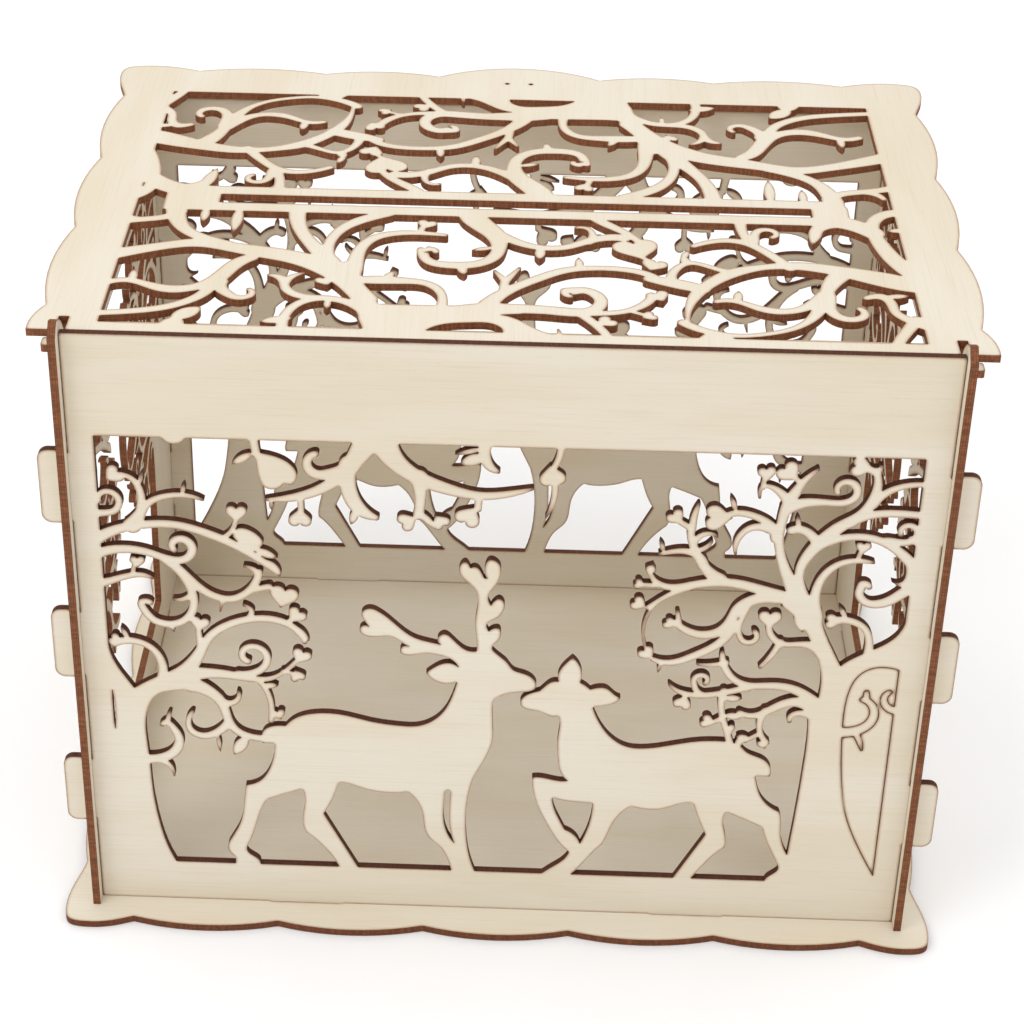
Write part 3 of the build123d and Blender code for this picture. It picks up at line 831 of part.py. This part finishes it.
def lid_board():
    window = Pos(0, slot_y) * Rectangle(lid_window_width, lid_window_depth)
    wood = stretched(lid_fretwork(), lid_window_width / drawn_lid_width, lid_window_depth / drawn_lid_depth)
    bar = box(-lid_window_width / 2 + card_bar_left, lid_window_width / 2 - card_bar_right,
              -card_bar_width / 2, card_bar_width / 2)
    bar = fillet(bar.vertices().group_by(Axis.X)[-1], card_bar_round)
    card_slot = Pos(0, slot_y) * Rectangle(card_slot_length, card_slot_width)
    slit_end = axis_y + prong_rise + prong_end_play
    slits = [box(x - prong_play, x + sheet + prong_play, lid_near - 1, slit_end)
             for x in (-outer_x, inner_width / 2)]
    screws = [Pos(x, lid_far - hasp_screw_inset) * Circle(hasp_screw_bore / 2)
              for x in (-hasp_screw_spacing / 2, hasp_screw_spacing / 2)]
    face = (lid_outline() - window) + Pos(0, slot_y) * (wood + bar) - ([card_slot] + slits + screws)
    return lay(face, lid_z)


def hinge_strip():
    near = axis_y - peg_depth / 2
    body = box(-inner_width / 2 + strip_play, inner_width / 2 - strip_play, near, near + bar_depth)
    reach = outer_x + peg_reach
    pegs = box(-reach, reach, near, near + peg_depth)
    pegs = fillet(pegs.vertices(), peg_corner)
    return lay(body + pegs, lid_z - sheet)


# ---------------------------------------------------------------- the kit

pieces = {
    "base_board": base_board(),
    "hinge_side_panel": hinge_side_panel(),
    "hasp_side_panel": hasp_side_panel(),
    "left_side_panel": side_panel(-outer_x),
    "right_side_panel": side_panel(inner_width / 2),
    "lid_board": lid_board(),
    "hinge_strip": hinge_strip(),
    "uncut_infill": uncut_infill(),
}

for name, piece in pieces.items():
    export_step(whole(piece, name), f"parts/{name}.step")
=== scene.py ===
from math import radians
import bpy
from mathutils import Matrix, Vector


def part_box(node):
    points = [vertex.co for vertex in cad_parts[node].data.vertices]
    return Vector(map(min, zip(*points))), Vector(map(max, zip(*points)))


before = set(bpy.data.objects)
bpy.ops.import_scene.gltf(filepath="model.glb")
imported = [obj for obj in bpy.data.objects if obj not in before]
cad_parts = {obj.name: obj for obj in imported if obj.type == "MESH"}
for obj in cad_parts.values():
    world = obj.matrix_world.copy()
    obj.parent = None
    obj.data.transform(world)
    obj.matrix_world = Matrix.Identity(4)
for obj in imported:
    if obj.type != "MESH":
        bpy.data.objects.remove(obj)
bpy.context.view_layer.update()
print("frame loaded:", len(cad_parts), "nodes")

# --- shader helpers

class Wire:
    # one output socket that can be used in sums; each operator adds its Math node
    def __init__(self, graph, socket):
        self.graph = graph
        self.socket = socket

    def maths(self, operation, *others):
        inputs = dict(enumerate((self,) + others))
        return self.graph.node("ShaderNodeMath", {"operation": operation}, inputs)[0]

    def reflected(self, operation, other):
        return self.graph.node("ShaderNodeMath", {"operation": operation}, {0: other, 1: self})[0]

    def __add__(self, other):
        return self.maths("ADD", other)

    def __sub__(self, other):
        return self.maths("SUBTRACT", other)

    def __mul__(self, other):
        return self.maths("MULTIPLY", other)

    def __truediv__(self, other):
        return self.maths("DIVIDE", other)

    def __rsub__(self, other):
        return self.reflected("SUBTRACT", other)

    def __rtruediv__(self, other):
        return self.reflected("DIVIDE", other)

    __radd__ = __add__
    __rmul__ = __mul__

    def size(self):
        return self.maths("ABSOLUTE")

    def step(self, low, high):
        # smooth rise from 0 at low to 1 at high
        inputs = {"Value": self, "From Min": low, "From Max": high}
        return self.graph.node("ShaderNodeMapRange", {"interpolation_type": "SMOOTHSTEP"}, inputs)[0]


class Graph:
    # the nodes of one material or one world
    def __init__(self, owner):
        owner.use_nodes = True
        self.tree = owner.node_tree

    def plug(self, socket, value):
        if isinstance(value, Wire):
            self.tree.links.new(value.socket, socket)
        else:
            socket.default_value = value

    def fill(self, name, inputs):
        # sets or links sockets of a node that the tree already has
        for key, value in inputs.items():
            self.plug(self.tree.nodes[name].inputs[key], value)

    def node(self, kind, settings, inputs):
        # settings are set first, then the sockets by name or number; gives the node's outputs as wires
        made = self.tree.nodes.new(kind)
        for key, value in settings.items():
            setattr(made, key, value)
        for key, value in inputs.items():
            self.plug(made.inputs[key], value)
        return [Wire(self, socket) for socket in made.outputs]

    def mix(self, share, first, second):
        # colour mix; sockets 0, 6 and 7 are the factor and the two colours, and output 2 is the colour
        settings = {"data_type": "RGBA", "blend_type": "MIX"}
        return self.node("ShaderNodeMix", settings, {0: share, 6: first, 7: second})[2]

    def along(self, vector, direction):
        # length of the vector along the direction: their dot product
        settings = {"operation": "DOT_PRODUCT"}
        return self.node("ShaderNodeVectorMath", settings, {0: vector, 1: direction})[1]

    def joined(self, x, y, z):
        return self.node("ShaderNodeCombineXYZ", {}, {0: x, 1: y, 2: z})[0]

    def noise(self, vector, detail, rough=0.5):
        inputs = {"Vector": vector, "Scale": 1.0, "Detail": detail, "Roughness": rough}
        return self.node("ShaderNodeTexNoise", {"noise_dimensions": "3D"}, inputs)[0]


# --- plywood: pale veneer with fine fibres, laser-burnt cut walls and a scorched rim beside each cut

wood = dict(
    sheet=0.0025, rimReach=0.0013, rimSamples=8,
    veneer=(0.745, 0.68, 0.565, 1), veneerWarm=(0.71, 0.625, 0.485, 1), fibre=(0.57, 0.465, 0.33, 1),
    rim=(0.42, 0.20, 0.075, 1), glueLine=(0.035, 0.012, 0.005, 1), cutLightened=1.9,
    wallRoughness=0.78, facePolish=0.16, fibreDull=0.12, specular=0.3,
    bump=dict(Strength=0.35, Distance=0.00009))

# noise: repeats per metre along and across the grain, its detail and roughness, and its own seed step
grains = dict(
    drift=dict(along=9.0, across=38.0, detail=3.0, rough=0.5, seedStep=0),
    fibre=dict(along=34.0, across=1500.0, detail=4.0, rough=0.6, seedStep=2),
    pore=dict(along=210.0, across=3600.0, detail=1.0, rough=0.5, seedStep=5),
    patch=dict(along=300.0, across=300.0, detail=2.0, rough=0.5, seedStep=8))
streaks = dict(repeats=1300.0, stretch=0.35, detail=3.0, rough=0.65)

# the values between which each mask rises from 0 to 1
rises = dict(
    face=(0.5, 0.8), drift=(0.35, 0.7), fibre=(0.45, 0.85), pore=(0.66, 0.8),
    smoke=(0.04, 0.42), char=(0.36, 0.55), streak=(0.35, 0.75),
    lineStart=(0.24, 0.34), lineEnd=(0.36, 0.46), skin=(0.80, 1.0))

# how strongly each mask acts on colour, and how high it stands in the bump
shares = dict(fibre=0.32, pore=0.28, smokeLeast=0.35, smokePatch=0.45, char=0.75, line=0.55, skin=0.6)
heights = dict(fibre=0.6, pore=0.4, streak=2.2)

axisX, axisY, axisZ = (1, 0, 0), (0, 1, 0), (0, 0, 1)
# cut-wall colour of each plate: brown on every plate, set darkest for the hinge side panel, then the hasp
# side panel, base board, side panels and lid
cutWallTones = dict(
    base=(0.115, 0.036, 0.014, 1), hingeSide=(0.060, 0.017, 0.007, 1), haspSide=(0.085, 0.026, 0.010, 1),
    sides=(0.150, 0.052, 0.020, 1), lid=(0.170, 0.060, 0.024, 1))

plates = {
    "base_board": dict(thin=axisZ, grain=axisX, cut=cutWallTones["base"], seed=3.1),
    "hinge_side_panel": dict(thin=axisY, grain=axisX, cut=cutWallTones["hingeSide"], seed=7.7),
    "hasp_side_panel": dict(thin=axisY, grain=axisX, cut=cutWallTones["haspSide"], seed=11.9),
    "left_side_panel": dict(thin=axisX, grain=axisZ, cut=cutWallTones["sides"], seed=15.3),
    "right_side_panel": dict(thin=axisX, grain=axisZ, cut=cutWallTones["sides"], seed=19.2),
    "lid_board": dict(thin=axisZ, grain=axisY, cut=cutWallTones["lid"], seed=23.8),
    "hinge_strip": dict(thin=axisZ, grain=axisX, cut=cutWallTones["lid"], seed=27.4),
    "uncut_infill": dict(thin=axisY, grain=axisX, cut=cutWallTones["hingeSide"], seed=7.7),
}


def plywood(name, plate, middle):
    finish = bpy.data.materials.new(name)
    graph = Graph(finish)
    coords = graph.node("ShaderNodeTexCoord", {}, {})
    place, normal = coords[3], coords[1]
    thin, grain = Vector(plate["thin"]), Vector(plate["grain"])
    along = graph.along(place, grain)
    across = graph.along(place, grain.cross(thin))
    # distance from the middle of the sheet as a share of half its thickness
    through = (graph.along(place, thin) - middle) / (wood["sheet"] / 2)
    face = graph.along(normal, thin).size().step(*rises["face"])

    def pattern(kind):
        made = grains[kind]
        spot = graph.joined(along * made["along"], across * made["across"], plate["seed"] + made["seedStep"])
        return graph.noise(spot, made["detail"], made["rough"])

    # veneer: slow drift, long fibres, short dark pores
    drift, fibre, pore = pattern("drift"), pattern("fibre"), pattern("pore")
    veneer = graph.mix(drift.step(*rises["drift"]), wood["veneer"], wood["veneerWarm"])
    dark = fibre.step(*rises["fibre"]) * shares["fibre"] + pore.step(*rises["pore"]) * shares["pore"]
    veneer = graph.mix(dark, veneer, wood["fibre"])

    # scorched rim: how much of the wood's own inside is missing within reach of the point
    within = {"inside": True, "only_local": True, "samples": wood["rimSamples"]}
    reach = {"Distance": wood["rimReach"]}
    near = 1 - graph.node("ShaderNodeAmbientOcclusion", within, reach)[1]
    patchy = pattern("patch")
    smoke = near.step(*rises["smoke"]) * (shares["smokeLeast"] + patchy * shares["smokePatch"])
    veneer = graph.mix(smoke, veneer, wood["rim"])
    veneer = graph.mix(near.step(*rises["char"]) * shares["char"], veneer, plate["cut"])

    # cut wall: streaks straight through the sheet, three layers with dark glue lines
    depth = through * streaks["stretch"] + plate["seed"]
    spot = graph.joined(along * streaks["repeats"], across * streaks["repeats"], depth)
    streak = graph.noise(spot, streaks["detail"], streaks["rough"])
    layer = through.size()
    line = layer.step(*rises["lineStart"]) * (1 - layer.step(*rises["lineEnd"]))
    skin = layer.step(*rises["skin"])
    lighter = tuple(min(1.0, value * wood["cutLightened"]) for value in plate["cut"][:3]) + (1,)
    cut = graph.mix(streak.step(*rises["streak"]), plate["cut"], lighter)
    cut = graph.mix(line * shares["line"] + skin * shares["skin"], cut, wood["glueLine"])

    # fibres and pores stand on the faces, streaks on the cut walls
    height = (fibre * heights["fibre"] + pore * heights["pore"]) * face
    height = height + streak * (1 - face) * heights["streak"]
    graph.fill("Principled BSDF", {
        "Base Color": graph.mix(face, cut, veneer),
        "Roughness": wood["wallRoughness"] - face * (wood["facePolish"] - fibre * wood["fibreDull"]),
        "Normal": graph.node("ShaderNodeBump", {}, {"Height": height, **wood["bump"]})[0],
        "Specular IOR Level": wood["specular"]})
    return finish


for name, plate in plates.items():
    low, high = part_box(name)
    middle = sum((low[i] + high[i]) / 2 * plate["thin"][i] for i in range(3))
    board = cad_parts[name]
    finish = plywood(name + "_plywood", plate, middle)
    for slot in board.material_slots:
        slot.material = finish
    if not board.material_slots:
        board.data.materials.append(finish)
print("plywood laid on", len(plates), "plates")

# --- floor and studio

ground = dict(half=15.0, drop=0.0003, colour=(0.95, 0.95, 0.955, 1), haze=(0.92, 0.92, 0.925, 1),
              hazeRepeats=3.0, hazeDetail=1.0, hazeShare=0.15, roughness=0.9)
lamps = dict(
    keyLight=dict(place=(-1.1, -1.0, 1.3), size=1.1, power=7.0),
    fillLight=dict(place=(1.3, -0.7, 0.9), size=1.2, power=1.0))
lampTarget = Vector((0, 0, 0.1))
sky = dict(colour=(1, 1, 1, 1), horizon=0.44, rise=0.98)


def floorSheet():
    half, low = ground["half"], -ground["drop"]
    mesh = bpy.data.meshes.new("studioFloor")
    corners = [(-half, -half, low), (half, -half, low), (half, half, low), (-half, half, low)]
    mesh.from_pydata(corners, [], [(0, 1, 2, 3)])
    floor = bpy.data.objects.new("studioFloor", mesh)
    bpy.context.scene.collection.objects.link(floor)
    finish = bpy.data.materials.new("paleFloor")
    graph = Graph(finish)
    place = graph.node("ShaderNodeTexCoord", {}, {})[3]
    clouds = {"Vector": place, "Scale": ground["hazeRepeats"], "Detail": ground["hazeDetail"]}
    haze = graph.node("ShaderNodeTexNoise", {}, clouds)[0]
    graph.fill("Principled BSDF", {
        "Base Color": graph.mix(haze * ground["hazeShare"], ground["colour"], ground["haze"]),
        "Roughness": ground["roughness"]})
    mesh.materials.append(finish)


def softLight(name, light):
    data = bpy.data.lights.new(name, "AREA")
    data.shape = "DISK"
    data.size = light["size"]
    data.energy = light["power"]
    lamp = bpy.data.objects.new(name, data)
    lamp.location = light["place"]
    lamp.rotation_euler = (lampTarget - lamp.location).to_track_quat("-Z", "Y").to_euler()
    bpy.context.scene.collection.objects.link(lamp)


def paleSky():
    # white all round; strength rises evenly with the height of the direction, from horizon to zenith
    world = bpy.data.worlds.new("studioSky")
    bpy.context.scene.world = world
    graph = Graph(world)
    direction = graph.node("ShaderNodeTexCoord", {}, {})[0]
    height = graph.along(direction, axisZ).maths("MAXIMUM", 0.0)
    graph.fill("Background", {"Color": sky["colour"], "Strength": height * sky["rise"] + sky["horizon"]})


floorSheet()
for name, light in lamps.items():
    softLight(name, light)
paleSky()
bpy.context.scene.view_settings.view_transform = "Standard"
print("studio lit")

# --- camera: in front of the hinge side, above it and looking down; angles in degrees, lens in mm

view = dict(place=(0.0018, -0.7350, 0.5878), turn=1.782, tilt=-30.407, roll=-0.710,
            lens=85.88, shiftX=0.0605, shiftY=-0.1289, nearest=0.01)

camera = bpy.data.objects.new("studioCamera", bpy.data.cameras.new("studioCamera"))
camera.data.lens = view["lens"]
camera.data.shift_x = view["shiftX"]
camera.data.shift_y = view["shiftY"]
camera.data.clip_start = view["nearest"]
aim = Matrix.Rotation(radians(view["turn"]), 4, "Z") @ Matrix.Rotation(radians(view["tilt"]), 4, "X")
aim = aim @ Matrix.Rotation(radians(view["roll"]), 4, "Y") @ Matrix.Rotation(radians(90), 4, "X")
camera.matrix_world = Matrix.Translation(view["place"]) @ aim
bpy.context.scene.collection.objects.link(camera)
bpy.context.scene.camera = camera
print("camera set")
